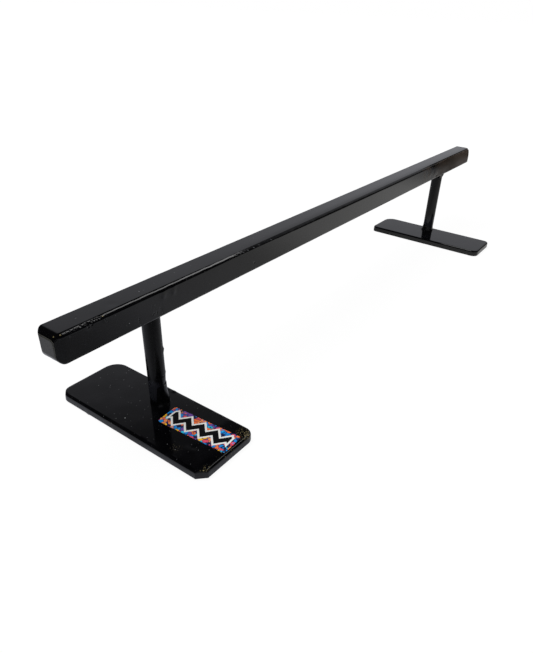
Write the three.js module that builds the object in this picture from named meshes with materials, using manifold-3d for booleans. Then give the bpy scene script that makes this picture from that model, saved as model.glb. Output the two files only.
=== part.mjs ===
// A small grind rail for finger-size boards: one solid square bar carried by two round posts,
// each welded to a flat base plate, all of it steel under one coat of gloss black enamel.
// Millimetres. X runs along the bar from its front end to its rear end, Z is up, and the origin
// lies on the floor under the middle of the part's outer box.
import * as THREE from 'three';
import { mergeVertices } from 'three/addons/utils/BufferGeometryUtils.js';
import Module from 'manifold-3d';

// The bar: 3/8 in square stock, its ends rounded over on a grinder.
const barSide = 9.525;
const barLength = 323.85;
const barEdgeRadius = 1.1;
const endRoundRun = 2.4; // how far the round-over runs along the bar
const endRoundDepth = 2.8; // how far it comes in from each side face
const barUndersideHeight = 39.7;

// The posts: 1/4 in round rod, set by eye, so each stands a little off the bar's middle line.
const postDiameter = 6.35;
const frontOverhang = 37.2; // from the bar's front end to the front post's axis
const rearOverhang = 46.15; // from the bar's rear end to the rear post's axis
const frontPostSideShift = 1;
const rearPostSideShift = -1;

// The base plates: about 1 in by 2 3/4 in of 1/8 in flat stock, each cut and ground by hand.
const frontPlateWidth = 26.6;
const frontPlateLength = 70.3;
const rearPlateWidth = 24.2;
const rearPlateLength = 71.2;
const plateThickness = 3.175;
const plateEdgeRadius = 0.6;
const frontPlateBackShift = 4.9; // from the post's axis to the plate's middle, towards the front end
const rearPlateBackShift = 7.4;
const frontPlateSideShift = -1.2; // from the bar's middle line to the plate's middle
const rearPlateSideShift = -5.55;

// Each plate's corners, ground by hand. Left is +Y, as seen from the front end.
const frontPlateRearLeftRadius = 5.9;
const frontPlateFrontLeftRadius = 4.2;
const frontPlateFrontRightCut = 2.9; // this corner is cut off straight
const frontPlateRearRightRadius = 3.5;
const rearPlateRearLeftRadius = 6;
const rearPlateFrontLeftRadius = 2.8;
const rearPlateFrontRightRadius = 3.6;
const rearPlateRearRightRadius = 3.1;

// The welds: concave fillets round each end of each post.
const frontBaseWeldToe = 0.9;
const frontBaseWeldHeight = 8.3;
const rearBaseWeldToe = 1.3;
const rearBaseWeldHeight = 3.4;
const baseWeldLip = 0.25;
const frontTopWeldToe = 0.8;
const frontTopWeldHeight = 1.3;
const rearTopWeldToe = 1.8;
const rearTopWeldHeight = 2.2;
const topWeldLip = 0.15;

// The label: thin vinyl, stuck on by hand a few degrees askew.
const labelLength = 28.7;
const labelWidth = 9.3;
const labelThickness = 0.2;
const labelCornerRadius = 1;
const labelTurnDegrees = 3.6;
const labelForwardShift = 2.4; // from the plate's middle to the label's middle, towards the rear end
const labelSideShift = -19.3;

// How finely the round shapes are cut, and how far a cutter overruns.
const postSides = 48;
const arcSteps = 4;
const cornerSteps = 5;
const straightCutSteps = 1;
const edgeSteps = 3;
const weldSteps = 6;
const cutOverrun = 1;

// The plates' outer ends lie equally far from the middle, and the bar goes where they put it.
const barMiddleY = (rearPlateLength / 2 - rearPlateSideShift - frontPlateLength / 2 - frontPlateSideShift) / 2;
const postRadius = postDiameter / 2;
const postHeight = barUndersideHeight - plateThickness;
const frontPostX = frontOverhang - barLength / 2;
const rearPostX = barLength / 2 - rearOverhang;

const wasm = await Module();
wasm.setup();

function toSolid(geometry) {
  const bare = geometry.clone();
  bare.deleteAttribute('normal');
  bare.deleteAttribute('uv');
  const merged = mergeVertices(bare);
  return new wasm.Manifold(new wasm.Mesh({
    numProp: 3,
    vertProperties: new Float32Array(merged.attributes.position.array),
    triVerts: new Uint32Array(merged.index.array),
  }));
}

function toGeometry(solid) {
  const mesh = solid.getMesh();
  const geometry = new THREE.BufferGeometry();
  geometry.setAttribute('position', new THREE.BufferAttribute(new Float32Array(mesh.vertProperties), 3));
  geometry.setIndex(new THREE.BufferAttribute(new Uint32Array(mesh.triVerts), 1));
  geometry.computeVertexNormals();
  return geometry;
}

function enamel() {
  return new THREE.MeshStandardMaterial({ color: 0x0b0b0d, roughness: 0.16, metalness: 0 });
}

function labelFilm() {
  return new THREE.MeshStandardMaterial({ color: 0xd8562f, roughness: 0.35, metalness: 0 });
}

// The square section with its four rolled edges.
function barSection() {
  const half = barSide / 2;
  const straight = half - barEdgeRadius;
  const shape = new THREE.Shape();
  shape.absarc(straight, straight, barEdgeRadius, 0, Math.PI / 2, false);
  shape.absarc(-straight, straight, barEdgeRadius, Math.PI / 2, Math.PI, false);
  shape.absarc(-straight, -straight, barEdgeRadius, Math.PI, 1.5 * Math.PI, false);
  shape.absarc(straight, -straight, barEdgeRadius, 1.5 * Math.PI, 2 * Math.PI, false);
  return shape;
}

// The bar seen from one side: round-overs at both ends, and clear of the stock between them.
function endRoundProfile() {
  const halfLength = barLength / 2;
  const tangent = halfLength - endRoundRun;
  const half = barSide / 2;
  const face = half - endRoundDepth;
  const clear = half + cutOverrun;
  const shape = new THREE.Shape();
  shape.moveTo(-tangent, clear);
  shape.lineTo(-tangent, half);
  shape.absellipse(-tangent, face, endRoundRun, endRoundDepth, Math.PI / 2, Math.PI, false);
  shape.absellipse(-tangent, -face, endRoundRun, endRoundDepth, Math.PI, 1.5 * Math.PI, false);
  shape.lineTo(-tangent, -clear);
  shape.lineTo(tangent, -clear);
  shape.lineTo(tangent, -half);
  shape.absellipse(tangent, -face, endRoundRun, endRoundDepth, 1.5 * Math.PI, 2 * Math.PI, false);
  shape.absellipse(tangent, face, endRoundRun, endRoundDepth, 0, Math.PI / 2, false);
  shape.lineTo(tangent, clear);
  shape.closePath();
  return shape;
}

function railBar() {
  const depth = barSide + 2 * cutOverrun;
  const stockLength = barLength + 2 * cutOverrun;
  const stock = new THREE.ExtrudeGeometry(barSection(), {
    depth: stockLength, bevelEnabled: false, curveSegments: edgeSteps,
  });
  stock.rotateY(Math.PI / 2);
  stock.translate(-stockLength / 2, 0, 0);
  const plan = new THREE.ExtrudeGeometry(endRoundProfile(), {
    depth, bevelEnabled: false, curveSegments: arcSteps,
  });
  plan.translate(0, 0, -depth / 2);
  const side = plan.clone();
  side.rotateX(Math.PI / 2);
  const solid = toSolid(stock).intersect(toSolid(plan)).intersect(toSolid(side));
  const mesh = new THREE.Mesh(toGeometry(solid), enamel());
  mesh.name = 'rail_bar';
  mesh.position.set(0, barMiddleY, barUndersideHeight + barSide / 2);
  return mesh;
}

// A plate's outline. Each corner has its radius and its number of steps: one step cuts it straight.
function plateOutline(width, length, corners) {
  const signs = [[1, 1], [-1, 1], [-1, -1], [1, -1]];
  const points = [];
  corners.forEach(([radius, steps], corner) => {
    const [sx, sy] = signs[corner];
    const centreX = sx * (width / 2 - radius);
    const centreY = sy * (length / 2 - radius);
    for (let step = 0; step <= steps; step += 1) {
      const angle = (corner + step / steps) * Math.PI / 2;
      points.push(new THREE.Vector2(centreX + radius * Math.cos(angle), centreY + radius * Math.sin(angle)));
    }
  });
  return new THREE.Shape(points);
}

function basePlate(name, outline, x, y) {
  const geometry = new THREE.ExtrudeGeometry(outline, {
    depth: plateThickness - 2 * plateEdgeRadius,
    bevelEnabled: true,
    bevelThickness: plateEdgeRadius,
    bevelSize: plateEdgeRadius,
    bevelOffset: -plateEdgeRadius,
    bevelSegments: edgeSteps,
    curveSegments: arcSteps,
  });
  geometry.translate(0, 0, plateEdgeRadius);
  const mesh = new THREE.Mesh(geometry, enamel());
  mesh.name = name;
  mesh.position.set(x, y, 0);
  return mesh;
}

// Turns an outline of radius and height about the post's axis, with the post's own facets.
function turned(outline) {
  const points = outline.map(([radius, height]) => new THREE.Vector2(radius, height));
  const geometry = new THREE.LatheGeometry(points, postSides);
  geometry.rotateX(Math.PI / 2);
  return geometry;
}

function post(name, x, y) {
  const outline = [[0, 0], [postRadius, 0], [postRadius, postHeight], [0, postHeight]];
  const mesh = new THREE.Mesh(turned(outline), enamel());
  mesh.name = name;
  mesh.position.set(x, y, plateThickness);
  return mesh;
}

// A weld's section: a flat foot against the plate or bar, and a concave face up to a thin lip.
function weldOutline(toe, lip, height) {
  const face = new THREE.QuadraticBezierCurve(
    new THREE.Vector2(postRadius + toe, 0),
    new THREE.Vector2(postRadius + lip, toe),
    new THREE.Vector2(postRadius + lip, height),
  );
  const facePoints = face.getPoints(weldSteps).map((point) => [point.x, point.y]);
  return [[postRadius, 0], ...facePoints, [postRadius, height], [postRadius, 0]];
}

function baseWeld(name, toe, height, x, y) {
  const mesh = new THREE.Mesh(turned(weldOutline(toe, baseWeldLip, height)), enamel());
  mesh.name = name;
  mesh.position.set(x, y, plateThickness);
  return mesh;
}

// The top weld hangs upside down from the bar, and stops flush with the bar's sides.
function topWeld(name, toe, height, x, sideShift) {
  const ring = turned(weldOutline(toe, topWeldLip, height));
  ring.rotateX(Math.PI);
  const reach = 2 * (postRadius + toe + cutOverrun);
  const keep = new THREE.BoxGeometry(reach, barSide, 2 * (height + cutOverrun));
  keep.translate(0, -sideShift, 0);
  const mesh = new THREE.Mesh(toGeometry(toSolid(ring).intersect(toSolid(keep))), enamel());
  mesh.name = name;
  mesh.position.set(x, barMiddleY + sideShift, barUndersideHeight);
  return mesh;
}

function label(plateX, plateY) {
  const x = labelWidth / 2 - labelCornerRadius;
  const y = labelLength / 2 - labelCornerRadius;
  const shape = new THREE.Shape();
  shape.absarc(x, y, labelCornerRadius, 0, Math.PI / 2, false);
  shape.absarc(-x, y, labelCornerRadius, Math.PI / 2, Math.PI, false);
  shape.absarc(-x, -y, labelCornerRadius, Math.PI, 1.5 * Math.PI, false);
  shape.absarc(x, -y, labelCornerRadius, 1.5 * Math.PI, 2 * Math.PI, false);
  const geometry = new THREE.ExtrudeGeometry(shape, {
    depth: labelThickness, bevelEnabled: false, curveSegments: arcSteps,
  });
  geometry.rotateZ(labelTurnDegrees * Math.PI / 180);
  const mesh = new THREE.Mesh(geometry, labelFilm());
  mesh.name = 'label';
  mesh.position.set(plateX + labelForwardShift, plateY + labelSideShift, plateThickness);
  return mesh;
}

const frontPlateX = frontPostX - frontPlateBackShift;
const frontPlateY = barMiddleY + frontPlateSideShift;
const rearPlateX = rearPostX - rearPlateBackShift;
const rearPlateY = barMiddleY + rearPlateSideShift;
const frontPostY = barMiddleY + frontPostSideShift;
const rearPostY = barMiddleY + rearPostSideShift;

const frontPlateOutline = plateOutline(frontPlateWidth, frontPlateLength, [
  [frontPlateRearLeftRadius, cornerSteps],
  [frontPlateFrontLeftRadius, cornerSteps],
  [frontPlateFrontRightCut, straightCutSteps],
  [frontPlateRearRightRadius, cornerSteps],
]);
const rearPlateOutline = plateOutline(rearPlateWidth, rearPlateLength, [
  [rearPlateRearLeftRadius, cornerSteps],
  [rearPlateFrontLeftRadius, cornerSteps],
  [rearPlateFrontRightRadius, cornerSteps],
  [rearPlateRearRightRadius, cornerSteps],
]);

const group = new THREE.Group();
group.name = 'grind_rail';
group.add(railBar());
group.add(post('front_post', frontPostX, frontPostY));
group.add(post('rear_post', rearPostX, rearPostY));
group.add(basePlate('front_base_plate', frontPlateOutline, frontPlateX, frontPlateY));
group.add(basePlate('rear_base_plate', rearPlateOutline, rearPlateX, rearPlateY));
group.add(topWeld('front_post_top_weld', frontTopWeldToe, frontTopWeldHeight, frontPostX, frontPostSideShift));
group.add(baseWeld('front_post_base_weld', frontBaseWeldToe, frontBaseWeldHeight, frontPostX, frontPostY));
group.add(topWeld('rear_post_top_weld', rearTopWeldToe, rearTopWeldHeight, rearPostX, rearPostSideShift));
group.add(baseWeld('rear_post_base_weld', rearBaseWeldToe, rearBaseWeldHeight, rearPostX, rearPostY));
group.add(label(frontPlateX, frontPlateY));

export default group;
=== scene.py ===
# A small grind rail in gloss black enamel: a square bar on two round posts, welded to flat base plates.
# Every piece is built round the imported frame, in metres, and rides on its one body.
import math

import bmesh
import bpy
from mathutils import Matrix, Vector, noise


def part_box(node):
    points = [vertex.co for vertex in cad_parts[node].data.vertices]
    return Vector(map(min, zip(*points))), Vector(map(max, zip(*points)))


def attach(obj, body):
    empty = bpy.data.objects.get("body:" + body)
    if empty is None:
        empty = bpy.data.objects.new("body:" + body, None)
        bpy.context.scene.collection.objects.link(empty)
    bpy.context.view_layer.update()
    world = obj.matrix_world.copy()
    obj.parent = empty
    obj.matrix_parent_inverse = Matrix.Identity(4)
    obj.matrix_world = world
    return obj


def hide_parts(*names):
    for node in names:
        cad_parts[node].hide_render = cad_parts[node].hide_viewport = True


mm = 0.001
tiny = 1e-7  # points closer than this are one
sharpDegrees = 50  # edges sharper than this keep a crease in their shading

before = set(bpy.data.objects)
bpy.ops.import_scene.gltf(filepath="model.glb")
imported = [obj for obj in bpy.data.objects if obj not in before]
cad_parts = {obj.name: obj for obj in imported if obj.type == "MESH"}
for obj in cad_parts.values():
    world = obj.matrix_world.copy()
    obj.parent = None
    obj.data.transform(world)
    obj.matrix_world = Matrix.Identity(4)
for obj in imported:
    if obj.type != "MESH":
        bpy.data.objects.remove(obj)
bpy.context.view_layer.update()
print("frame loaded with", len(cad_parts), "nodes")


# Mesh and object helpers

def cornersAt(bm, signX, signY):
    return [v for v in bm.verts if v.co.x * signX > 0 and v.co.y * signY > 0]


def roundedSheet(width, length, corners):
    # corners: radius and segments, in the order +x+y, -x+y, -x-y, +x-y
    bm = bmesh.new()
    bmesh.ops.create_grid(bm, x_segments=1, y_segments=1, size=0.5)
    bmesh.ops.scale(bm, vec=(width, length, 1), verts=bm.verts)
    for (signX, signY), (radius, segments) in zip(((1, 1), (-1, 1), (-1, -1), (1, -1)), corners):
        bmesh.ops.bevel(bm, geom=cornersAt(bm, signX, signY), offset=radius, segments=segments,
                        profile=0.5, affect="VERTICES", material=-1)
    return bm


def cut(bm, place, normal):
    bmesh.ops.bisect_plane(bm, geom=bm.verts[:] + bm.edges[:] + bm.faces[:], dist=tiny,
                           plane_co=place, plane_no=normal)


def cutGrid(bm, width, length, spacing):
    # cuts a piece round the origin at even steps, across its width and then its length
    for size, normal in ((width, Vector((1, 0, 0))), (length, Vector((0, 1, 0)))):
        count = round(size / spacing)
        for i in range(1, count):
            cut(bm, normal * (-size / 2 + size * i / count), normal)


def raised(bm, height):
    # extrudes a flat sheet upwards into a closed body
    made = bmesh.ops.extrude_face_region(bm, geom=bm.faces[:])["geom"]
    lifted = [g for g in made if isinstance(g, bmesh.types.BMVert)]
    bmesh.ops.translate(bm, vec=(0, 0, height), verts=lifted)
    bmesh.ops.recalc_face_normals(bm, faces=bm.faces)


def ringed(bm, height, count):
    # cuts the upright edges of a raised body into count even rings
    upright = [e for e in bm.edges if abs(e.verts[0].co.z - e.verts[1].co.z) > height / 2]
    bmesh.ops.subdivide_edges(bm, edges=upright, cuts=count - 1, use_grid_fill=True)


def ripple(point, size, seed):
    return noise.noise(point / size + Vector((seed, seed * 1.7, seed * 2.3)))


def lump(point, place, radius):
    return math.exp(-(point - place).length_squared / radius ** 2)


def step(value, low, high):
    share = min(1, max(0, (value - low) / (high - low)))
    return share * share * (3 - 2 * share)


def coat(bm, thickness):
    # lays the paint's own unevenness on a bare shape: thickness gives it at a point with a normal
    bm.normal_update()
    moves = [(v, v.normal * thickness(v.co, v.normal)) for v in bm.verts]
    for v, move in moves:
        v.co += move


def newObject(name, data):
    made = bpy.data.objects.new(name, data)
    bpy.context.scene.collection.objects.link(made)
    return made


def newMesh(name, bm, material):
    mesh = bpy.data.meshes.new(name)
    bm.to_mesh(mesh)
    bm.free()
    mesh.materials.append(material)
    return newObject(name, mesh)


def stand(thing, place, right, up, back):
    turn = Matrix((right, up, back)).transposed().to_4x4()
    thing.matrix_world = Matrix.Translation(place) @ turn


def finishPiece(name, bm, material, node):
    bmesh.ops.remove_doubles(bm, verts=bm.verts, dist=tiny)
    bmesh.ops.recalc_face_normals(bm, faces=bm.faces)
    piece = newMesh(name, bm, material)
    mesh = piece.data
    mesh.polygons.foreach_set("use_smooth", [True] * len(mesh.polygons))
    mesh.set_sharp_from_angle(angle=math.radians(sharpDegrees))
    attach(piece, "root")
    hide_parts(node)
    print(name, "has", len(mesh.polygons), "faces")
    return piece


# Material helpers

class Shader:
    # a node tree of a material or the world, with short calls for the nodes that the finishes share
    def __init__(self, owner):
        owner.use_nodes = True
        self.material = owner
        self.nodes = owner.node_tree.nodes
        self.links = owner.node_tree.links
        self.surface = self.nodes.get("Principled BSDF")
        self.coordinates = self.nodes.new("ShaderNodeTexCoord").outputs
        self.place = self.coordinates["Object"]

    def link(self, source, socket):
        if isinstance(source, bpy.types.NodeSocket):
            self.links.new(source, socket)
        else:
            socket.default_value = source

    def node(self, kind, **settings):
        made = self.nodes.new(kind)
        for key, value in settings.items():
            setattr(made, key, value)
        return made

    def math(self, operation, a, b=0.0, c=0.0, clamp=False):
        made = self.node("ShaderNodeMath", operation=operation, use_clamp=clamp)
        for socket, value in zip(made.inputs, (a, b, c)):
            self.link(value, socket)
        return made.outputs[0]

    def plus(self, a, b, clamp=False):
        return self.math("ADD", a, b, clamp=clamp)

    def minus(self, a, b, clamp=False):
        return self.math("SUBTRACT", a, b, clamp=clamp)

    def times(self, a, b):
        return self.math("MULTIPLY", a, b)

    def split(self, vector):
        made = self.node("ShaderNodeSeparateXYZ")
        self.link(vector, made.inputs[0])
        return made.outputs

    def noise(self, size, detail=2.0, rough=0.5, place=None, stretch=None):
        # noise whose features are about size across
        made = self.node("ShaderNodeTexNoise")
        source = place or self.place
        if stretch:
            mapping = self.node("ShaderNodeMapping")
            mapping.inputs["Scale"].default_value = stretch
            self.link(source, mapping.inputs["Vector"])
            source = mapping.outputs[0]
        self.link(source, made.inputs["Vector"])
        made.inputs["Scale"].default_value = 1 / size
        made.inputs["Detail"].default_value = detail
        made.inputs["Roughness"].default_value = rough
        return made.outputs["Fac"]

    def cells(self, size, output="Distance", feature="F1", randomness=1.0, place=None):
        made = self.node("ShaderNodeTexVoronoi", feature=feature)
        self.link(place or self.place, made.inputs["Vector"])
        made.inputs["Scale"].default_value = 1 / size
        made.inputs["Randomness"].default_value = randomness
        return made.outputs[output]

    def between(self, value, low, high, toLow=0.0, toHigh=1.0):
        made = self.node("ShaderNodeMapRange", interpolation_type="SMOOTHSTEP")
        for socket, v in zip(made.inputs, (value, low, high, toLow, toHigh)):
            self.link(v, socket)
        return made.outputs[0]

    def near(self, place, inner, outer, wander=0.0):
        # 1 within inner of a place, 0 beyond outer
        made = self.node("ShaderNodeVectorMath", operation="DISTANCE")
        self.link(self.place, made.inputs[0])
        made.inputs[1].default_value = place
        return self.between(self.plus(made.outputs["Value"], wander), outer, inner)

    def mix(self, share, a, b):
        made = self.node("ShaderNodeMix", data_type="RGBA")
        self.link(share, made.inputs["Factor"])
        for socket, value in ((made.inputs[6], a), (made.inputs[7], b)):
            self.link(value if isinstance(value, bpy.types.NodeSocket) else (*value, 1), socket)
        return made.outputs[2]

    def bump(self, height, distance, below=None):
        made = self.node("ShaderNodeBump")
        made.inputs["Distance"].default_value = distance
        self.link(height, made.inputs["Height"])
        if below:
            self.link(below, made.inputs["Normal"])
        return made.outputs[0]


enamelLook = {
    "black": (0.0012, 0.0012, 0.0016),
    "thinBlack": (0.0030, 0.0030, 0.0036),
    "cloudSize": 9 * mm,
    "cloudRange": (0.35, 0.7),
    "refraction": 1.5,
    "shineSize": 5 * mm,  # how large the duller patches are, and how much rougher
    "shineRange": (0.3, 0.8),
    "shineGain": 1.6,
    "peelSize": 1.1 * mm,
    "peelDepth": 0.0032 * mm,
    # the slower swell under the orange peel, and its height next to the peel's
    "swellSize": 4.5 * mm,
    "swellShare": 1.6,
    # nibs, grains and specks: how far apart, how far each dot reaches as a share of that, the size
    # of the patches that have them, and the noise levels where those patches start
    "nibSize": 2.3 * mm,
    "nibReach": (0.11, 0.05),
    "nibPatch": 1.9 * mm,
    "nibStart": (0.56, 0.60),
    "nibShow": 0.7,
    "nibDepth": 0.012 * mm,
    "gold": (0.23, 0.19, 0.09),
    "chalk": (0.22, 0.22, 0.23),
    "dustColour": (0.05, 0.05, 0.055),
    "grainSize": 1.5 * mm,
    "grainReach": (0.14, 0.07),
    "grainPatch": 1.1 * mm,
    "grainStart": (0.50, 0.66),
    "grainShow": 0.55,
    "speckSize": 0.42 * mm,
    "speckReach": (0.40, 0.25),
    "speckPatch": 0.7 * mm,
    "speckDull": 0.3,  # what each kind of mark adds to the roughness
    "flakeDull": 0.25,
    "bareDull": 0.16,
    "rustDull": 0.30,
    "ragSize": 0.5 * mm,  # how ragged the edge of a flake is
    "rustColour": (0.040, 0.027, 0.017),
    "rustSize": 5.0 * mm,
    "rustStart": (0.72, 0.95),  # the noise levels where it starts, less each stain's own share
    "stainFade": (1.0 * mm, 0.8 * mm),  # how softly stains end: inwards and upwards
    "scoreWander": 0.5 * mm,
    "scoreWanderSize": 2.2 * mm,
    "scoreEdge": (0.34 * mm, 0.02 * mm),
    "scuffSize": 0.8 * mm,
    "scuffStretch": (1.0, 3.5, 1.0),
    "scuffStart": (0.60, 0.68),
    "scuffShow": 0.9,
    "scuffDepth": 0.02 * mm,
    # the ground end face's colour: thin dull paint, its lighter tone partly a painted reflection of the
    # floor
    "bareEndAndPaintedReflection": (0.022, 0.0215, 0.0155),
    "bareEdge": (0.15 * mm, 0.11 * mm),  # how far from the bar's end the bare paint ends
    # a grey painted reflection, laid low on the posts
    "wearAndPaintedSheen": (0.016, 0.017, 0.022),
    # a faint painted reflection that lifts the black
    "paintedReflectionHaze": (0.003, 0.003, 0.003),
    "worn": (0.080, 0.061, 0.048),
    # the end's paler rim, a painted highlight along the kink, and where its band starts and ends
    "paintedRimHighlight": (0.062, 0.062, 0.056),
    "paintedRimHighlightEdge": (0.26 * mm, 0.20 * mm),
    "rimWander": 0.14 * mm,
    "rimWanderSize": 1.3 * mm,
}


def enamel(name, specks=(), flakes=(), pits=(), grooves=(), rust=(), scuffs=(), wearAndPaintedSheen=(), bareEnd=None,
           stainBounds=None, roughness=0.07, gloss=0.5, dust=False):
    # gloss black: cloudy depth, orange peel, dust nibs, and the specks, rust, marks, painted highlights and
    # painted reflections that a piece lists
    look = enamelLook
    s = Shader(bpy.data.materials.new(name))
    cloud = s.noise(look["cloudSize"], detail=4)
    colour = s.mix(s.between(cloud, *look["cloudRange"]), look["black"], look["thinBlack"])
    nibs = s.between(s.cells(look["nibSize"]), *look["nibReach"])
    chosen = s.between(s.noise(look["nibPatch"]), *look["nibStart"])
    nibs = s.times(nibs, chosen)
    colour = s.mix(s.times(nibs, look["nibShow"]), colour, look["dustColour"])
    if dust:
        grains = s.between(s.cells(look["grainSize"]), *look["grainReach"])
        patch = s.noise(look["grainPatch"], detail=1)
        picked = s.between(patch, *look["grainStart"], 0.0, look["grainShow"])
        colour = s.mix(s.times(grains, picked), colour, look["chalk"])
    shine = s.noise(look["shineSize"], detail=3)
    roughness = s.between(shine, *look["shineRange"], roughness, roughness * look["shineGain"])
    for place, reach, share in specks:
        grains = s.between(s.cells(look["speckSize"]), *look["speckReach"])
        picked = s.between(s.noise(look["speckPatch"], detail=1), 1 - share, 1.03 - share)
        mask = s.times(grains, picked)
        mask = s.times(mask, s.near(place, reach * 0.4, reach))
        colour = s.mix(mask, colour, look["gold"])
        roughness = s.plus(roughness, s.times(mask, look["speckDull"]))
    for place, radius, tint in flakes:
        wander = s.times(s.noise(look["ragSize"]), 0.5 * radius)
        mask = s.near(place, radius * 0.5, radius, wander)
        colour = s.mix(mask, colour, look[tint])
        roughness = s.plus(roughness, s.times(mask, look["flakeDull"]))
    if bareEnd is not None:  # the ground end face, where the paint is thin and dull; its lighter tone is partly a painted reflection of the floor, and its paler rim is a painted highlight along the kink
        wander = s.times(s.noise(look["rimWanderSize"]), look["rimWander"])
        run = s.plus(s.minus(s.split(s.place)[0], bareEnd), wander)
        colour = s.mix(s.between(run, *look["paintedRimHighlightEdge"]), colour, look["paintedRimHighlight"])
        mask = s.between(run, *look["bareEdge"])
        colour = s.mix(mask, colour, look["bareEndAndPaintedReflection"])
        roughness = s.plus(roughness, s.times(mask, look["bareDull"]))
    within = 1.0
    if stainBounds:  # stains keep to the -Y side: how far in and how high they reach
        inner, top = stainBounds
        fadeIn, fadeUp = look["stainFade"]
        within = s.times(s.between(s.split(s.place)[1], inner, inner - fadeIn),
                         s.between(s.split(s.place)[2], top, top - fadeUp))
    for place, reach, tint, dulling in wearAndPaintedSheen:  # painted reflections and worn places: the worn ones, which list a dulling, are duller too and end where stains do
        mask = s.near(place, reach * 0.5, reach)
        if dulling:
            mask = s.times(mask, within)
            roughness = s.plus(roughness, s.times(mask, dulling))
        colour = s.mix(mask, colour, look[tint])
    for place, reach, share in rust:
        start, full = look["rustStart"]
        stain = s.between(s.noise(look["rustSize"], detail=3), start - share, full - share)
        mask = s.times(stain, s.near(place, reach * 0.25, reach))
        mask = s.times(mask, within)
        colour = s.mix(mask, colour, look["rustColour"])
        roughness = s.plus(roughness, s.times(mask, look["rustDull"]))
    peel = s.noise(look["peelSize"], detail=1)
    swell = s.times(s.noise(look["swellSize"]), look["swellShare"])
    normal = s.bump(s.plus(peel, swell), look["peelDepth"])
    normal = s.bump(nibs, look["nibDepth"], normal)
    if pits:
        depth = 0.0
        for place, radius, fall in pits:
            depth = s.math("MULTIPLY_ADD", s.near(place, 0, radius), -fall, depth)
        normal = s.bump(depth, 1.0, normal)
    for place, reach, fall in grooves:  # level scores round a post
        wander = s.minus(s.noise(look["scoreWanderSize"]), 0.5)
        wander = s.times(wander, look["scoreWander"])
        below = s.plus(s.minus(s.split(s.place)[2], place.z), wander)
        score = s.between(s.math("ABSOLUTE", below), *look["scoreEdge"])
        score = s.times(score, s.near(place, reach * 0.75, reach))
        normal = s.bump(s.times(score, -fall), 1.0, normal)
    for place, reach in scuffs:
        rays = s.noise(look["scuffSize"], detail=3, rough=0.8, stretch=look["scuffStretch"])
        mask = s.times(s.between(rays, *look["scuffStart"]), s.near(place, reach * 0.3, reach))
        colour = s.mix(s.times(mask, look["scuffShow"]), colour, look["gold"])
        roughness = s.plus(roughness, s.times(mask, look["flakeDull"]))
        normal = s.bump(mask, look["scuffDepth"], normal)
    s.link(colour, s.surface.inputs["Base Color"])
    s.link(roughness, s.surface.inputs["Roughness"])
    s.link(normal, s.surface.inputs["Normal"])
    s.surface.inputs["IOR"].default_value = look["refraction"]
    s.surface.inputs["Specular IOR Level"].default_value = gloss
    return s.material


# The bar

barLow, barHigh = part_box("rail_bar")
barCentre = (barLow + barHigh) / 2
barSide = barHigh.z - barLow.z
frontPostCentre = sum(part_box("front_post"), Vector()) / 2
rearPostCentre = sum(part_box("rear_post"), Vector()) / 2

barShape = {
    "skin": 0.03 * mm,  # the bare bar lies this far inside the frame's, so that the paint stays within it
    "edgeRadius": 0.80 * mm,
    "crispRadius": 0.45 * mm,  # the top edge on the +Y side
    # the top edge on the -Y side is filed off: its reach over the top and down the side, its slope
    # at the top, and a last cut just inside it that keeps the top face level
    "filedAcross": 1.55 * mm,
    "filedDown": 0.80 * mm,
    "filedDegrees": 17,
    "filedGuard": 0.12 * mm,
    "filedDeeper": 0.3 * mm,  # towards the rear end the filed edge reaches this much further down the side
    "filedDeeperStart": (75 * mm, 150 * mm),
    "filedFade": 2.7 * mm,
    "edgeSegments": 7,
    "flatStep": 0.6 * mm,
    "fineLength": 62 * mm,  # the front stretch, which has the most runs and pits
    "fineStep": 0.32 * mm,
    "lengthStep": 0.62 * mm,
    "endSteps": 14,
    "kinkDegrees": 24,  # the ground end face meets its round-over at this kink
    # how far each round-over runs along the bar, and how far it comes in: top, bottom, -Y side, +Y side
    "frontRounds": ((2.4 * mm, 1.75 * mm), (2.1 * mm, 2.3 * mm),
                    (3.0 * mm, 1.7 * mm), (2.4 * mm, 1.6 * mm)),
    "rearRounds": ((2.6 * mm, 2.2 * mm), (2.6 * mm, 3.0 * mm),
                   (2.4 * mm, 2.6 * mm), (2.4 * mm, 2.6 * mm)),
    "waveDepth": 0.008 * mm,
    "waveSize": 7 * mm,
    "fineWaveSize": 2.2 * mm,
    "fineWaveShare": 0.4,
    "runDepth": 0.07 * mm,  # runs of paint along the running edge, which is the filed one
    "runSize": 3.2 * mm,
    "runEnd": (60 * mm, 170 * mm),
    "runLoss": 0.8,  # how much of them is gone there
    "beadShare": 0.4,  # and the smaller beads among them at the front end
    "beadSize": 1.0 * mm,
    "beadEnd": (14 * mm, 34 * mm),
    "hollow": 0.055 * mm,  # a slight hollow under the running edge, which fades towards the middle
    "hollowPlace": 0.66,  # across the filed edge, from its upper bound at 0 to its lower at 1
    "hollowReach": 0.34 * mm,
    "hollowEnd": (16 * mm, 100 * mm),
    "edgeWaveDepth": 0.03 * mm,
    "edgeWaveSize": 5 * mm,
    "edgeTilt": (0.02, 0.2),  # a normal turned this far away from the axes belongs to an edge
    "rimWaveDepth": 0.22 * mm,
    "rimWaveSize": 2.0 * mm,
    "rimWaveReach": (0.1 * mm, 1.8 * mm),
    "slump": 0.28 * mm,  # the top face falls away towards the running edge along the rear stretch
    "slumpReach": 2.3 * mm,
    "slumpStart": (40 * mm, 150 * mm),
    "lean": 1.0 * mm,  # and the upper half of the -Y side leans in at the rear end
    "leanStart": (232 * mm, 285 * mm),
    # as shares of the side: how far below its middle the lean starts, and over what height it grows
    "leanShares": (0.15, 0.65),
    "leanFacing": (0.1, 0.8),  # for faces turned this much towards -Y
}


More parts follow.
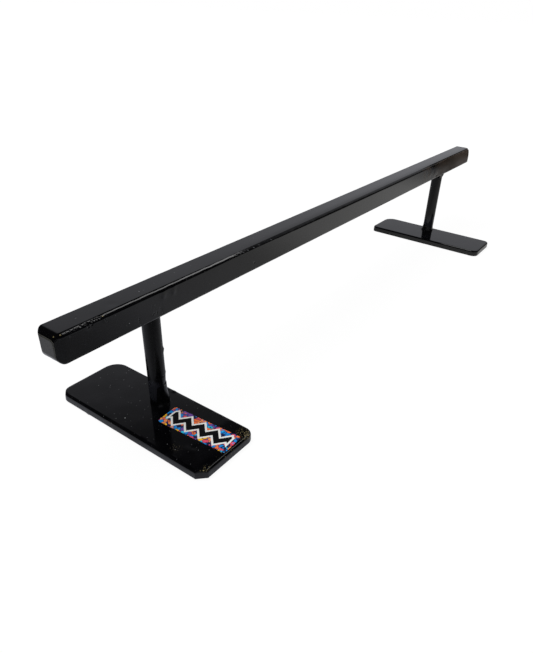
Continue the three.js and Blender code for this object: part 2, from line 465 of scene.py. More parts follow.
def barStations():
    # distances from the front end: close together at both ends, fine along the front stretch
    s = barShape
    length = barHigh.x - barLow.x - 2 * s["skin"]
    longest = max(run for run, depth in s["frontRounds"] + s["rearRounds"])
    ends = [longest * (1 - math.cos(math.pi / 2 * i / s["endSteps"])) for i in range(s["endSteps"] + 1)]
    fineCount = round(s["fineLength"] / s["fineStep"])
    fine = [longest + s["fineLength"] * i / fineCount for i in range(1, fineCount + 1)]
    rest = length - longest - fine[-1]
    restCount = round(rest / s["lengthStep"])
    coarse = [fine[-1] + rest * i / restCount for i in range(1, restCount)]
    return ends + fine + coarse + [length - d for d in reversed(ends)], length


def endInset(distance, run, depth):
    kink = math.radians(barShape["kinkDegrees"])
    share = max(0, run - distance) / run * math.cos(kink)
    return depth * (1 - math.sqrt(1 - share * share)) / (1 - math.sin(kink))


def barPaint(point, normal):
    s = barShape
    along = point.x - barLow.x
    out = s["waveDepth"] * ripple(point, s["waveSize"], 1)
    out += s["fineWaveShare"] * s["waveDepth"] * ripple(point, s["fineWaveSize"], 2)
    sharpness = 1 - max(abs(normal.x), abs(normal.y), abs(normal.z))
    edge = step(sharpness, *s["edgeTilt"])
    out += s["edgeWaveDepth"] * edge * ripple(point, s["edgeWaveSize"], 4)
    if normal.y < -0.1 and normal.z > 0.1:  # beads and short runs of paint along the running edge
        beads = s["beadShare"] * (1 - step(along, *s["beadEnd"])) * ripple(point, s["beadSize"], 3)
        runs = (1 - s["runLoss"] * step(along, *s["runEnd"])) * ripple(point, s["runSize"], 6)
        out += s["runDepth"] * edge * (beads + runs)
        hollow = lump(point, onEdge(along, s["hollowPlace"]), s["hollowReach"])
        out -= s["hollow"] * hollow * (1 - step(along, *s["hollowEnd"]))
    for place, radius, height in barLumps:
        out += height * lump(point, place, radius)
    if normal.z > 0.5:
        fall = math.exp(-((point.y - barLow.y) / s["slumpReach"]) ** 2)
        out -= s["slump"] * fall * step(along, *s["slumpStart"])
    if normal.y < 0:
        below, growth = s["leanShares"]
        rise = max(0, (point.z - barCentre.z + below * barSide) / (growth * barSide))
        out -= s["lean"] * rise ** 2 * step(-normal.y, *s["leanFacing"]) * step(along, *s["leanStart"])
    return out - s["skin"] * 0.5


# places on the bar: x from its front end, then the height up its -Y side or the way in across its top
def onSide(x, z):
    return Vector((barLow.x + x, barLow.y, barLow.z + z))


def onTop(x, y):
    return Vector((barLow.x + x, barLow.y + y, barHigh.z))


def filedEdge(t):
    # how far over the top and down the side the filed edge lies, at t from its upper bound to its lower
    s = barShape
    across = (1 - t) ** 2 * s["filedAcross"]
    corner = s["filedAcross"] * math.tan(math.radians(s["filedDegrees"]))
    return across, 2 * t * (1 - t) * corner + t ** 2 * s["filedDown"]


def onEdge(x, t=0.35):
    across, down = filedEdge(t)
    return Vector((barLow.x + x, barLow.y + across, barHigh.z - down))


def marks(face, rows):
    # rows in millimetres: the place on the face, radius, and height or depth
    return [(face(along * mm, across * mm), radius * mm, rise * mm) for along, across, radius, rise in rows]


# weld spatter, lumps and dents
barLumps = marks(onSide, [
    (10.8, 8.7, 0.90, -0.10),
    (16.0, 8.6, 0.60, 0.14),
    (38.6, 7.2, 1.10, 0.26),
    (42.9, 7.0, 0.90, 0.26),
    (44.6, 7.6, 0.60, -0.10),
    (33.8, 2.6, 0.70, 0.10),
    (37.0, 2.4, 0.80, -0.10),
])
barLumps += marks(onTop, [(22.0, 4.2, 1.40, -0.04)])
barLumps += marks(onSide, [
    (255, 4.2, 1.40, 0.08),
    (262, 3.0, 1.30, 0.14),
    (274, 0.9, 1.60, 0.16),
    (267, 1.9, 1.00, -0.14),
])

# pinholes and ticks in the paint
barPits = marks(onSide, [
    (4.7, 8.0, 0.55, 0.10),
    (10.6, 8.3, 0.60, 0.22),
    (11.7, 8.5, 0.55, 0.22),
    (16.1, 8.2, 0.35, 0.14),
    (16.5, 7.7, 0.32, 0.12),
    (16.9, 7.2, 0.30, 0.12),
    (23.5, 3.0, 0.40, 0.08),
    (28.2, 3.6, 0.32, 0.16),
    (28.1, 3.0, 0.34, 0.18),
    (28.0, 2.3, 0.32, 0.16),
    (28.6, 0.9, 0.45, 0.16),
    (33.7, 5.3, 0.38, 0.08),
    (33.6, 2.5, 0.40, 0.20),
    (34.2, 2.8, 0.35, 0.18),
    (35.4, 2.7, 0.36, 0.20),
    (35.3, 2.1, 0.32, 0.16),
    (36.8, 3.5, 0.32, 0.10),
    (37.3, 2.4, 0.34, 0.10),
    (37.8, 1.3, 0.36, 0.12),
    (84.8, 3.3, 0.60, 0.20),
    (265.6, 1.9, 1.10, 0.40),
])
barPits += marks(onTop, [(34.4, 4.2, 0.40, 0.06), (10.4, 5.2, 0.45, 0.07)])
# breaks in the lit line along the running edge: distance from the front end and radius
barBreaks = [(5.2, 0.34), (6.4, 0.40), (7.3, 0.30), (8.5, 0.62), (9.9, 0.44), (10.8, 0.66), (12.2, 0.52),
             (13.1, 0.62), (13.9, 0.56), (14.8, 0.60), (15.4, 0.36), (17.4, 0.30), (1.4, 0.70), (3.9, 0.26),
             (66.2, 0.22), (75.2, 0.36), (77.4, 0.40), (79.0, 0.50), (81.8, 0.50), (85.3, 0.55),
             (88.6, 0.40), (96.1, 0.45)]
shallowEnd = 18  # the breaks nearer the front end than this are shallow
shallowDepth = 0.10
fullDepth = 0.30
for x, radius in barBreaks:
    depth = shallowDepth if x < shallowEnd else fullDepth
    barPits.append((onEdge(x * mm), radius * mm, depth * mm))


def buildBar(material):
    s = barShape
    side = barSide - 2 * s["skin"]
    half = side / 2
    corner = (s["edgeRadius"], s["edgeSegments"])
    filedCorner = (s["filedAcross"], 2 * s["edgeSegments"])
    stations, length = barStations()
    crispCorner = (s["crispRadius"], s["edgeSegments"])
    bm = roundedSheet(side, side, [corner, crispCorner, filedCorner, corner])
    for v in cornersAt(bm, -1, -1):
        toTop = s["filedAcross"] - (v.co.y + half)
        toSide = s["filedAcross"] - (v.co.x + half)
        across, down = filedEdge(math.atan2(toTop, toSide) / (math.pi / 2))
        v.co.x, v.co.y = down - half, across - half
    cut(bm, (0, s["filedAcross"] + s["filedGuard"] - half, 0), (0, 1, 0))
    cutGrid(bm, side, side, s["flatStep"])
    raised(bm, 1)
    ringed(bm, 1, len(stations) - 1)
    for v in bm.verts:  # each ring goes to its own station, drawn in where the ends are rounded over
        along = stations[round(v.co.z * (len(stations) - 1))]
        drop = v.co.x + half
        if v.co.y < filedCorner[0] - half:
            deeper = s["filedDeeper"] * step(along, *s["filedDeeperStart"])
            share = 1 - step(drop, s["filedDown"], s["filedDown"] + s["filedFade"])
            drop += deeper * min(drop / s["filedDown"], share)
        up, across = 1 - drop / half, v.co.y / half
        face = 0 if up > 0 else 1
        flank = 2 if across < 0 else 3
        for distance, rounds in ((along, s["frontRounds"]), (length - along, s["rearRounds"])):
            up *= 1 - endInset(distance, *rounds[face]) / half
            across *= 1 - endInset(distance, *rounds[flank]) / half
        v.co = Vector((barLow.x + s["skin"] + along, barCentre.y + across * half, barCentre.z + up * half))
    for v in bm.verts:  # the ground faces' rims wander
        toEnd = min(v.co.x - barLow.x, barHigh.x - v.co.x)
        fade = 1 - step(toEnd, *s["rimWaveReach"])
        outward = Vector((0, v.co.y - barCentre.y, v.co.z - barCentre.z))
        if fade > 0 and outward.length > 0.2 * barSide:
            wave = abs(ripple(v.co, s["rimWaveSize"], 5))
            v.co -= outward.normalized() * s["rimWaveDepth"] * fade * wave
    bmesh.ops.recalc_face_normals(bm, faces=bm.faces)
    coat(bm, barPaint)
    return finishPiece("painted_bar", bm, material, "rail_bar")


barFinish = enamel(
    "bar_enamel",
    flakes=[
        (onEdge(2.3 * mm) + Vector((0, 0.1 * mm, 0.2 * mm)), 0.55 * mm, "gold"),
        (onTop(0.8 * mm, 1.9 * mm) - Vector((0, 0, 0.6 * mm)), 0.45 * mm, "gold"),
        (onEdge(16.0 * mm), 0.42 * mm, "gold"),
        (onSide(24.3 * mm, 3.4 * mm), 0.34 * mm, "chalk"),
        (onTop(32.6 * mm, 4.2 * mm), 0.30 * mm, "chalk"),
        (onTop(39.5 * mm, 5.0 * mm), 0.24 * mm, "dustColour"),
        (onTop(49.5 * mm, 6.0 * mm), 0.45 * mm, "dustColour"),
        (onTop(10.4 * mm, 5.2 * mm), 0.30 * mm, "dustColour"),
        (onTop(92.0 * mm, 6.2 * mm), 0.40 * mm, "dustColour"),
    ],
    pits=barPits,
    rust=[(onSide(281 * mm, 6.5 * mm), 27 * mm, 0.52), (onSide(250 * mm, 7.5 * mm), 9 * mm, 0.40)],
    # a faint painted reflection along the rear part of the running edge, and real wear at the rear end
    wearAndPaintedSheen=[(onEdge(235 * mm), 175 * mm, "paintedReflectionHaze", 0), (onSide(311 * mm, 5.5 * mm), 34 * mm, "worn", 0.26)],
    bareEnd=barLow.x + barShape["skin"],
    stainBounds=(barLow.y + 3.6 * mm, barHigh.z - 0.2 * mm),
)
buildBar(barFinish)


# The posts

def postFacing(degrees):
    angle = math.radians(degrees)
    return Vector((math.cos(angle), math.sin(angle), 0))


postShape = {
    "sides": 72,
    "heightStep": 0.4 * mm,
    "waveDepth": 0.022 * mm,
    "waveSizes": (2.6 * mm, 4 * mm),  # of the waves that run up the post, and of the rest
    "waveShares": (0.6, 0.4),
    "upShare": 0.25,  # how fast the first kind changes up the post
    "rings": 3,
}


def buildPost(name, node, material, lumps, seed):
    s = postShape
    low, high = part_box(node)
    centre = (low + high) / 2
    radius = (high.x - low.x) / 2 - s["waveDepth"]
    bm = bmesh.new()
    bmesh.ops.create_circle(bm, cap_ends=True, segments=s["sides"], radius=radius)
    for i in range(s["rings"]):
        bmesh.ops.inset_region(bm, faces=[f for f in bm.faces if len(f.verts) > 4], thickness=radius / 5)
    raised(bm, high.z - low.z)
    ringed(bm, high.z - low.z, round((high.z - low.z) / s["heightStep"]))
    bmesh.ops.translate(bm, vec=(centre.x, centre.y, low.z), verts=bm.verts)

    def paint(point, normal):
        if abs(normal.z) > 0.9:
            return 0
        tall = Vector((point.x, point.y, point.z * s["upShare"]))
        upright = s["waveShares"][0] * ripple(tall, s["waveSizes"][0], seed)
        plain = s["waveShares"][1] * ripple(point, s["waveSizes"][1], seed + 1)
        out = s["waveDepth"] * (upright + plain)
        for place, reach, height in lumps:
            out += height * lump(point, place, reach)
        return out

    coat(bm, paint)
    return finishPiece(name, bm, material, node)


postRadius = (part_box("front_post")[1].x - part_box("front_post")[0].x) / 2


def onFrontPost(degrees, z):
    return Vector((frontPostCentre.x, frontPostCentre.y, z)) + postFacing(degrees) * postRadius


def onRearPost(degrees, z):
    return Vector((rearPostCentre.x, rearPostCentre.y, z)) + postFacing(degrees) * postRadius


postFinish = enamel(
    "post_enamel",
    grooves=[(onFrontPost(-82, 15.3 * mm), 3.0 * mm, 0.20 * mm)],
    # painted reflections: grey low on one side of the post, and a faint lift higher up
    wearAndPaintedSheen=[
        (onFrontPost(190, 8.2 * mm), 3.6 * mm, "wearAndPaintedSheen", 0),
        (onFrontPost(190, 11.5 * mm), 3.6 * mm, "wearAndPaintedSheen", 0),
        (onFrontPost(250, 26.0 * mm), 12.0 * mm, "paintedReflectionHaze", 0),
    ],
    roughness=0.19,
    gloss=0.28,
)
rearPostFinish = enamel(
    "rear_post_enamel",
    rust=[(rearPostCentre + Vector((0, 0, 17 * mm)), 5 * mm, 0.25)],
    # a grey painted reflection low on the rear post
    wearAndPaintedSheen=[(onRearPost(215, 6.0 * mm), 9.0 * mm, "wearAndPaintedSheen", 0)],
    gloss=0.28,
)
buildPost("painted_front_post", "front_post", postFinish, [
    (onFrontPost(-50, 25.5 * mm), 0.55 * mm, 0.34 * mm),
    (onFrontPost(-52, 24.6 * mm), 0.45 * mm, 0.16 * mm),
    (onFrontPost(-48, 16.0 * mm), 0.6 * mm, 0.14 * mm),
    (onFrontPost(-72, 11.0 * mm), 3.2 * mm, -0.26 * mm),
    (onFrontPost(215, 36.8 * mm), 1.0 * mm, 0.08 * mm),
], 11)
buildPost("painted_rear_post", "rear_post", rearPostFinish, [
    (onRearPost(-60, 14 * mm), 0.8 * mm, 0.08 * mm),
    (onRearPost(170, 31 * mm), 0.7 * mm, 0.07 * mm),
], 17)


# The welds

weldShape = {
    "turns": 72,
    "root": 0.25 * mm,  # how far the bead runs into the post
    "faceSteps": 12,
    "beadDepth": 0.10 * mm,
    "beadLevel": 0.45,  # the share of that depth by which the whole bead is sunk, to stay in its box
    "beadSize": 1.7 * mm,
    "sink": 0.14 * mm,  # on its light side a bead's lip dies away into the post
    "foot": 0.02 * mm,  # the ripples start this far from the plate or bar
    "footFade": 0.4 * mm,
    "inside": 0.1 * mm,  # points this far inside the post's face keep their place
    "clipInset": 0.35 * mm,  # a top bead stops this far short of the bar's sides
}


def weldSection(toe, lip, height, radius):
    # radius and height of points from the toe up the concave face, then down the root
    s = weldShape
    points = []
    for i in range(s["faceSteps"] + 1):
        t = i / s["faceSteps"]
        r = (1 - t) ** 2 * toe + 2 * t * (1 - t) * lip + t ** 2 * lip
        z = 2 * t * (1 - t) * toe + t ** 2 * height
        points.append((radius + r, z))
    return points + [(radius - s["root"], height), (radius - s["root"], 0)]


def buildWeld(name, node, centre, material, lip, seed, upward=1, heavySide=0,
              lean=(-2, -1, 1, 1), clip=None, lumps=()):
    # lean: how square to the heavy side the bead starts and is full,
    # then its share of width and of height on the light side
    s = weldShape
    low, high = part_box(node)
    toe = high.x - centre.x - postRadius
    height = high.z - low.z
    base = low.z if upward > 0 else high.z
    bm = bmesh.new()
    section = weldSection(toe, lip, height, postRadius)
    verts = [bm.verts.new((centre.x + r, centre.y, base + upward * z)) for r, z in section]
    edges = [bm.edges.new((a, b)) for a, b in zip(verts, verts[1:] + verts[:1])]
    bmesh.ops.spin(bm, geom=verts + edges, cent=centre, axis=(0, 0, 1), angle=2 * math.pi,
                   steps=s["turns"], use_merge=True)
    bmesh.ops.remove_doubles(bm, verts=bm.verts, dist=tiny)
    bmesh.ops.recalc_face_normals(bm, faces=bm.faces)

    def bead(point, normal):
        away = Vector((point.x - centre.x, point.y - centre.y, 0))
        rise = abs(point.z - base)
        if away.length < postRadius - s["inside"] or rise < s["foot"]:
            return 0
        out = s["beadDepth"] * (ripple(point, s["beadSize"], seed) - s["beadLevel"])
        for place, reach, swell in lumps:
            out += swell * lump(point, place, reach)
        return out * step(rise, 0, s["footFade"])

    coat(bm, bead)
    start, full, lightWidth, lightHeight = lean
    for v in bm.verts:
        away = Vector((v.co.x - centre.x, v.co.y - centre.y, 0))
        heavy = step(away.normalized().dot(postFacing(heavySide)), start, full)
        if away.length > postRadius:
            share = lightWidth + (1 - lightWidth) * heavy
            rise = abs(v.co.z - base) / height
            sink = s["sink"] * (1 - heavy) * (lightWidth < 1) * step(rise, 0.4, 0.9)
            place = centre + away.normalized() * (postRadius + (away.length - postRadius) * share - sink)
            v.co.x, v.co.y = place.x, place.y
        v.co.z = base + (v.co.z - base) * (lightHeight + (1 - lightHeight) * heavy)
    if clip:
        for v in bm.verts:
            v.co.y = min(max(v.co.y, clip[0]), clip[1])
    return finishPiece(name, bm, material, node)


weldFinish = enamel(
    "weld_enamel",
    rust=[(rearPostCentre + Vector((0, 0, 18 * mm)), 7 * mm, 0.28)],
    roughness=0.2,
)
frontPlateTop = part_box("front_base_plate")[1].z
barClip = (barLow.y + weldShape["clipInset"], barHigh.y - weldShape["clipInset"])
buildWeld("front_base_bead", "front_post_base_weld", frontPostCentre, weldFinish,
          0.04 * mm, 21, heavySide=-72, lean=(0.17, 0.50, 0.12, 0.34),
          lumps=[(onFrontPost(-48, frontPlateTop + 2.3 * mm), 1.3 * mm, 0.42 * mm),
                 (onFrontPost(-62, frontPlateTop + 1.0 * mm), 1.0 * mm, 0.25 * mm)])
buildWeld("rear_base_bead", "rear_post_base_weld", rearPostCentre, weldFinish,
          0.06 * mm, 23, heavySide=110, lean=(-0.3, 0.7, 0.30, 1))
buildWeld("front_top_bead", "front_post_top_weld", frontPostCentre, weldFinish,
          0.05 * mm, 25, upward=-1, clip=barClip)
buildWeld("rear_top_bead", "rear_post_top_weld", rearPostCentre, weldFinish,
          0.05 * mm, 27, upward=-1, heavySide=110, lean=(-0.3, 0.7, 0.45, 1), clip=barClip)


# The base plates

plateShape = {
    "skin": 0.03 * mm,
    "topRadius": 0.8 * mm,
    "bottomRadius": 0.35 * mm,
    "edgeSegments": 7,
    "step": 0.8 * mm,
    "waveDepth": 0.010 * mm,
    "waveSizes": (9 * mm, 3 * mm),
    "fineShare": 0.4,
    "waveLevel": 0.6,  # the share of the depth by which the top is sunk, and below the same for the sides
    "sideWaveDepth": 0.045 * mm,
    "sideWaveSize": 3.5 * mm,
    "sideWaveLevel": 0.25,
    "sideTilt": (0.3, 0.95),  # from a side's normal to the top's
    "worn": 0.35 * mm,  # the round-over along the -X side reaches this much further in
    "wornReach": 3 * mm,
    "underHeight": 0.4 * mm,  # how high up the side its low lump sits
}


def buildPlate(name, node, material, corners, lumps, seed, trim=(0, 0)):
    s = plateShape
    low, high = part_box(node)
    centre = (low + high) / 2 + Vector((*trim, 0)) / 2
    width = high.x - low.x - trim[0] - 2 * s["skin"]
    length = high.y - low.y - trim[1] - 2 * s["skin"]
    bm = roundedSheet(width, length, corners)
    raised(bm, high.z - low.z)
    middle = (high.z - low.z) / 2
    for side, radius in ((1, s["topRadius"]), (-1, s["bottomRadius"])):
        rim = [e for e in bm.edges if all((v.co.z - middle) * side > middle * 0.99 for v in e.verts)]
        bmesh.ops.bevel(bm, geom=rim, offset=radius, segments=s["edgeSegments"], profile=0.5,
                        affect="EDGES", material=-1)
    cutGrid(bm, width, length, s["step"])
    for v in bm.verts:
        inside = v.co.x + width / 2
        if v.co.z > middle:
            fade = 1 - step(inside, s["topRadius"], s["wornReach"])
            v.co.x += s["worn"] * step(inside, 0, s["topRadius"]) * fade
    bmesh.ops.translate(bm, vec=(centre.x, centre.y, low.z), verts=bm.verts)
    bmesh.ops.recalc_face_normals(bm, faces=bm.faces)

    def paint(point, normal):
        if normal.z < -0.5:
            return 0
        broad = ripple(point, s["waveSizes"][0], seed)
        fine = s["fineShare"] * ripple(point, s["waveSizes"][1], seed + 1)
        level = s["waveDepth"] * (broad + fine - s["waveLevel"])
        side = s["sideWaveDepth"] * (ripple(point, s["sideWaveSize"], seed + 2) - s["sideWaveLevel"])
        upright = 1 - step(abs(normal.z), *s["sideTilt"])
        out = level * (1 - upright) + side * upright
        for place, reach, rise in lumps:
            out += rise * lump(point, place, reach)
        return out

    coat(bm, paint)
    for v in bm.verts:
        v.co.z = max(v.co.z, low.z)
    return finishPiece(name, bm, material, node)


# places on the front plate, from the middle of its top: on the top, and low down its -X side
def onFrontPlate(x, y):
    low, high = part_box("front_base_plate")
    return Vector(((low.x + high.x) / 2 + x, (low.y + high.y) / 2 + y, high.z))


def underEdge(y):
    low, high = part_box("front_base_plate")
    return Vector((low.x, (low.y + high.y) / 2 + y, low.z + plateShape["underHeight"]))


frontPlateFinish = enamel(
    "front_plate_enamel",
    specks=[
        (onFrontPlate(-9.9 * mm, -34.2 * mm) + Vector((0, 0, 1.2 * mm)), 2.6 * mm, 0.54),
        (onFrontPlate(10.4 * mm, -33.4 * mm) + Vector((0, 0, 1.4 * mm)), 4.6 * mm, 0.62),
        (onFrontPlate(0 * mm, -33.9 * mm) + Vector((0, 0, 1.6 * mm)), 6.0 * mm, 0.38),
    ],
    flakes=[(onFrontPlate(-10.9 * mm, -33.7 * mm), 0.50 * mm, "gold"),
            (onFrontPlate(-11.6 * mm, -33.0 * mm), 0.40 * mm, "gold"),
            (onFrontPlate(-8.8 * mm, 4.6 * mm), 0.36 * mm, "chalk")],
    scuffs=[(onFrontPlate(-9.05 * mm, -19.9 * mm), 2.6 * mm)],
    dust=True,
)
rearPlateFinish = enamel("rear_plate_enamel", gloss=0.42)
buildPlate("painted_front_plate", "front_base_plate", frontPlateFinish,
           [(5.9 * mm, 10), (4.2 * mm, 9), (2.9 * mm, 1), (3.5 * mm, 9)],
           [(underEdge(19.5 * mm), 0.5 * mm, 0.30 * mm)] + marks(onFrontPlate, [
               (12.6, 2.6, 0.6, 0.20),
               (12.5, 5.4, 0.5, 0.12),
               (-6.6, -23.6, 1.3, 0.06),
               (-5.2, -24.4, 1.1, -0.06),
               (-7.4, -25.2, 1.2, 0.05),
           ]), 31, trim=(0.12 * mm, 0.12 * mm))
buildPlate("painted_rear_plate", "rear_base_plate", rearPlateFinish,
           [(6.0 * mm, 10), (2.8 * mm, 8), (3.6 * mm, 8), (3.1 * mm, 8)], [], 37)


# The label

labelLow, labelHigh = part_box("label")
labelCentre = (labelLow + labelHigh) / 2
labelShape = {
    "length": 28.7 * mm,
    "width": 9.3 * mm,
    "turnDegrees": 3.6,
    "cornerRadius": 1.0 * mm,
    "film": 0.13 * mm,
    "edge": 0.05 * mm,
    "gridStep": 1 * mm,
    "tileSize": 1.45 * mm,
    "eyeEdge": (0.24, 0.19),
    "jointEdge": (0.07, 0.03),
    "blur": 0.05 * mm,
    "shineSize": 2 * mm,
    "shineRange": (0.26, 0.34),
    "waveSize": 3 * mm,
    "waveDepth": 0.004 * mm,
    "gloss": 0.12,
    "ground": (0.020, 0.016, 0.075),
    "white": (0.84, 0.84, 0.82),
    "black": (0.004, 0.004, 0.005),
    "palette": [
        (0.00, (0.012, 0.016, 0.060)),
        (0.14, (0.90, 0.18, 0.045)),
        (0.29, (0.010, 0.26, 0.70)),
        (0.43, (0.78, 0.085, 0.14)),
        (0.57, (0.92, 0.50, 0.020)),
        (0.65, (0.17, 0.075, 0.34)),
        (0.79, (0.030, 0.50, 0.76)),
        (0.89, (0.90, 0.30, 0.10)),
    ],
    "zigzagLength": 5.8 * mm,
    "zigzagReach": 1.6 * mm,
    "zigzagWidth": 2.0 * mm,
    "outline": 0.70 * mm,
    "zigzagSpan": 12.2 * mm,
}


def labelFinish():
    # a mosaic of coloured tiles with round eyes, and one black zigzag outlined in white along the middle
    look = labelShape
    s = Shader(bpy.data.materials.new("label_print"))
    mapping = s.node("ShaderNodeMapping", vector_type="TEXTURE")
    mapping.inputs["Location"].default_value = labelCentre
    mapping.inputs["Rotation"].default_value[2] = math.radians(look["turnDegrees"])
    s.link(s.place, mapping.inputs["Vector"])
    onLabel = mapping.outputs[0]
    across, along, _ = s.split(onLabel)
    tint = s.node("ShaderNodeSeparateColor")
    s.link(s.cells(look["tileSize"], output="Color", place=onLabel), tint.inputs[0])

    def fromPalette(value):
        ramp = s.node("ShaderNodeValToRGB")
        ramp.color_ramp.interpolation = "CONSTANT"
        stops = ramp.color_ramp.elements
        while len(stops) < len(look["palette"]):
            stops.new(0.5)
        for stop, (place, colour) in zip(stops, look["palette"]):
            stop.position = place
            stop.color = (*colour, 1)
        s.link(value, ramp.inputs[0])
        return ramp.outputs[0]

    eye = s.between(s.cells(look["tileSize"], place=onLabel), *look["eyeEdge"])
    colour = s.mix(eye, fromPalette(tint.outputs[0]), fromPalette(tint.outputs[1]))
    joints = s.cells(look["tileSize"], feature="DISTANCE_TO_EDGE", place=onLabel)
    colour = s.mix(s.between(joints, *look["jointEdge"]), colour, look["ground"])
    phase = s.math("FRACT", s.math("DIVIDE", along, look["zigzagLength"]))
    wave = s.math("ABSOLUTE", s.minus(phase, 0.5))
    wave = s.minus(s.times(wave, 4.0), 1.0)
    offset = s.minus(across, s.times(wave, look["zigzagReach"]))
    slope = 4 * look["zigzagReach"] / look["zigzagLength"]
    distance = s.times(s.math("ABSOLUTE", offset), 1 / math.hypot(1, slope))
    half = look["zigzagWidth"] / 2
    blur = look["blur"]
    pastEnd = s.minus(s.math("ABSOLUTE", along), look["zigzagSpan"])
    shape = s.math("MAXIMUM", s.minus(distance, half), pastEnd)
    colour = s.mix(s.between(shape, look["outline"] + blur, look["outline"] - blur), colour, look["white"])
    colour = s.mix(s.between(shape, blur, -blur), colour, look["black"])
    s.link(colour, s.surface.inputs["Base Color"])
    shine = s.between(s.noise(look["shineSize"]), 0.3, 0.7, *look["shineRange"])
    s.link(shine, s.surface.inputs["Roughness"])
    s.link(s.bump(s.noise(look["waveSize"]), look["waveDepth"]), s.surface.inputs["Normal"])
    s.surface.inputs["Specular IOR Level"].default_value = look["gloss"]
    return s.material


def buildLabel(material):
    s = labelShape
    bm = roundedSheet(s["width"], s["length"], [(s["cornerRadius"], 6)] * 4)
    raised(bm, s["film"])
    rim = [e for e in bm.edges if all(v.co.z > s["film"] / 2 for v in e.verts)]
    bmesh.ops.bevel(bm, geom=rim, offset=s["edge"], segments=3, profile=0.5, affect="EDGES", material=-1)
    cutGrid(bm, s["width"], s["length"], s["gridStep"])
    bmesh.ops.rotate(bm, verts=bm.verts, matrix=Matrix.Rotation(math.radians(s["turnDegrees"]), 3, "Z"))
    bmesh.ops.translate(bm, vec=(labelCentre.x, labelCentre.y, labelLow.z), verts=bm.verts)
    piece = finishPiece("printed_label", bm, material, "label")
    piece.visible_glossy = False  # the uneven enamel round it is too dark to mirror it


buildLabel(labelFinish())


# The floor, the room that the enamel mirrors, and the lamps

room = {
    "floorSize": 40.0,
    "floorDrop": 0.02 * mm,  # it lies this far under the plates
    "floorColour": (0.85, 0.85, 0.85),
    "floorWhite": 1.04,  # what the camera sees of the floor
    "floorMirror": 0.36,  # what the enamel mirrors of it
    "mirrorReach": (0.20, 0.48),  # and how far off it grows dark there
    "shadowShare": 0.12,  # how much of the seen floor is lit paper, which takes the shadow
    "shadowReach": (0.22, 0.45),
    # the floor in front of the rail lies in shade
    "dimPlaces": ((-0.150, -0.060, 0.0), (-0.225, -0.045, 0.0)),
    "dimReach": (0.03, 0.085),
    "dimShare": 0.72,
    # but not the strip along the front plate's near end and side
    "clearPlaces": ((-0.122, -0.0347, 0.0), (-0.137, -0.016, 0.0), (-0.137, -0.026, 0.0)),
    "clearReach": (0.010, 0.017),
    "clearShare": 0.10,
    "nearTint": (0.955, 0.98, 1.12),  # the shade near the camera is bluish
    "farTint": (1.0, 0.995, 0.985),
    "tintReach": (0.10, 0.30),
    # the floor beside the rail's rear half is brighter
    "brightPlace": (0.135, -0.066, 0.0),
    "brightReach": (0.06, 0.135),
    "brightShare": 0.75,
    "wallHeading": Vector((0.839, 0.545, 0)),
    "wallTurn": (-0.05, 0.05),
    "wallWidth": (0.70, 0.86),
    "wallFade": (0.72, 0.49),
    "wallLevel": 0.33,
    "wallLowLevel": 0.50,
    "wallLow": (0.50, 0.14),
    "backLevel": 0.3,  # the wall behind the camera, next to the one ahead of it
    "darkLevel": 0.010,
    "wallTint": (0.97, 0.98, 1.05),
    "softLevel": 0.30,
}


def buildFloor():
    s = Shader(bpy.data.materials.new("floor_paper"))
    path = s.node("ShaderNodeLightPath").outputs
    mirrored = s.plus(path["Is Glossy Ray"], path["Is Transmission Ray"], clamp=True)
    seen = s.plus(path["Is Camera Ray"], mirrored, clamp=True)
    bright = s.near(room["brightPlace"], *room["brightReach"])
    mirrorLevel = s.math("MULTIPLY_ADD", bright, room["brightShare"], 1.0)
    shades = [s.near(place, *room["dimReach"]) for place in room["dimPlaces"]]
    clear = 0.0
    for place in room["clearPlaces"]:
        clear = s.math("MAXIMUM", clear, s.near(place, *room["clearReach"]))
    shade = s.times(s.math("MAXIMUM", *shades), s.minus(1.0, clear))
    dim = s.times(shade, room["dimShare"])
    dim = s.minus(dim, s.times(clear, room["clearShare"]))
    mirrorLevel = s.times(mirrorLevel, s.near((0, 0, 0), *room["mirrorReach"]))
    mirrorLevel = s.times(mirrorLevel, s.minus(1.0, dim))
    mirrorLevel = s.times(mirrorLevel, room["floorMirror"])
    level = s.plus(s.times(path["Is Camera Ray"], room["floorWhite"]), s.times(mirrored, mirrorLevel))
    glow = s.node("ShaderNodeEmission")
    s.link(level, glow.inputs["Strength"])
    tint = s.mix(s.near(room["brightPlace"], *room["tintReach"]), room["nearTint"], room["farTint"])
    s.link(s.mix(path["Is Camera Ray"], tint, (1, 1, 1)), glow.inputs["Color"])
    matt = s.node("ShaderNodeBsdfDiffuse")
    matt.inputs["Color"].default_value = (*room["floorColour"], 1)
    blend = s.node("ShaderNodeMixShader")
    paper = s.times(s.near((0, 0, 0), *room["shadowReach"]), room["shadowShare"])
    s.link(s.times(seen, s.minus(1.0, paper)), blend.inputs[0])
    s.link(matt.outputs[0], blend.inputs[1])
    s.link(glow.outputs[0], blend.inputs[2])
    s.links.new(blend.outputs[0], s.nodes["Material Output"].inputs["Surface"])
    s.nodes.remove(s.surface)
    bm = bmesh.new()
    bmesh.ops.create_grid(bm, x_segments=1, y_segments=1, size=room["floorSize"] / 2)
    bmesh.ops.translate(bm, vec=(0, 0, -room["floorDrop"]), verts=bm.verts)
    newMesh("floor", bm, s.material)


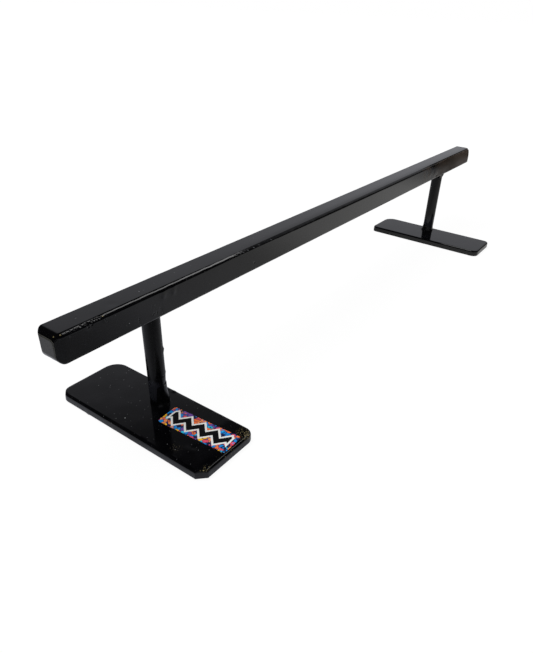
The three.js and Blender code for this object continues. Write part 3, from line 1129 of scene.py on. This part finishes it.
def buildWorld():
    # white to the camera, plain soft light on the object, and two pale walls that the enamel mirrors
    world = bpy.data.worlds.new("room")
    bpy.context.scene.world = world
    s = Shader(world)
    x, y, z = s.split(s.coordinates["Generated"])
    heading = room["wallHeading"]
    ahead = s.plus(s.times(x, heading.x), s.times(y, heading.y))
    level = s.math("SQRT", s.minus(1.0, s.times(z, z), clamp=True))
    share = s.between(ahead, *room["wallTurn"], room["backLevel"], 1.0)
    ahead = s.math("DIVIDE", s.math("ABSOLUTE", ahead), s.math("MAXIMUM", level, 0.001))
    wall = s.between(z, *room["wallLow"], room["wallLevel"], room["wallLowLevel"])
    wall = s.times(wall, s.between(z, *room["wallFade"]))
    wall = s.times(s.times(wall, share), s.between(ahead, *room["wallWidth"]))
    walls = s.nodes["Background"]
    walls.inputs["Color"].default_value = (*room["wallTint"], 1)
    s.link(s.plus(wall, room["darkLevel"]), walls.inputs["Strength"])
    path = s.node("ShaderNodeLightPath").outputs
    plain = s.node("ShaderNodeBackground")
    plain.inputs["Color"].default_value = (1, 1, 1, 1)
    s.link(s.math("MAXIMUM", path["Is Camera Ray"], room["softLevel"]), plain.inputs["Strength"])
    blend = s.node("ShaderNodeMixShader")
    s.link(s.plus(path["Is Glossy Ray"], path["Is Transmission Ray"], clamp=True), blend.inputs[0])
    s.link(plain.outputs[0], blend.inputs[1])
    s.link(walls.outputs[0], blend.inputs[2])
    s.links.new(blend.outputs[0], s.nodes["World Output"].inputs["Surface"])


lamps = {
    # place, the direction of the long side, length and width, brightness, and whether the enamel mirrors it
    "key_strip": {"place": (0.442, 0.205, 0.829), "along": (0.88, -0.12, -0.46), "size": (0.43, 0.115),
                  "level": 2.8, "mirrored": True},
    "top_softbox": {"place": (-0.15, 0.25, 0.96), "along": (1, 0, 0), "size": (0.80, 0.80),
                    "level": 4.3, "mirrored": False},
}


def buildLamp(name, place, along, size, level, mirrored):
    data = bpy.data.lights.new(name, "AREA")
    data.shape = "RECTANGLE"
    data.size, data.size_y = size
    data.energy = level * math.pi * size[0] * size[1]
    lamp = newObject(name, data)
    lamp.visible_glossy = mirrored
    heading = Vector(place).normalized()
    right = Vector(along) - heading * heading.dot(Vector(along))
    right.normalize()
    stand(lamp, place, right, heading.cross(right), heading)


buildFloor()
buildWorld()
for lampName, lampSettings in lamps.items():
    buildLamp(lampName, **lampSettings)
print("room and lamps ready")


# The camera

view = {
    "place": Vector((-227.375, -118.075, 124.28)) * mm,
    "headingDegrees": 34.089,  # turned from +X towards +Y
    "tiltDegrees": -32.101,
    "rollDegrees": 2.516,
    "focalPixels": 540.54,
    "middleX": 284.17,
    "middleY": 348.77,
    "photoWidth": 533,
    "photoHeight": 653,
    "sensor": 36,
}


def buildCamera():
    heading, tilt, roll = (math.radians(view[k]) for k in ("headingDegrees", "tiltDegrees", "rollDegrees"))
    ahead = Vector((math.cos(heading) * math.cos(tilt), math.sin(heading) * math.cos(tilt), math.sin(tilt)))
    levelRight = Vector((math.sin(heading), -math.cos(heading), 0))
    levelUp = levelRight.cross(ahead)
    right = levelRight * math.cos(roll) + levelUp * math.sin(roll)
    up = levelUp * math.cos(roll) - levelRight * math.sin(roll)
    data = bpy.data.cameras.new("photo_camera")
    longSide = max(view["photoWidth"], view["photoHeight"])
    data.sensor_width = view["sensor"]
    data.lens = view["focalPixels"] * view["sensor"] / longSide
    data.shift_x = (view["photoWidth"] / 2 - view["middleX"]) / longSide
    data.shift_y = (view["middleY"] - view["photoHeight"] / 2) / longSide
    data.clip_start = 0.01
    camera = newObject("photo_camera", data)
    stand(camera, view["place"], right, up, -ahead)
    bpy.context.scene.camera = camera


buildCamera()
bpy.context.scene.view_settings.view_transform = "Standard"
print("camera ready")
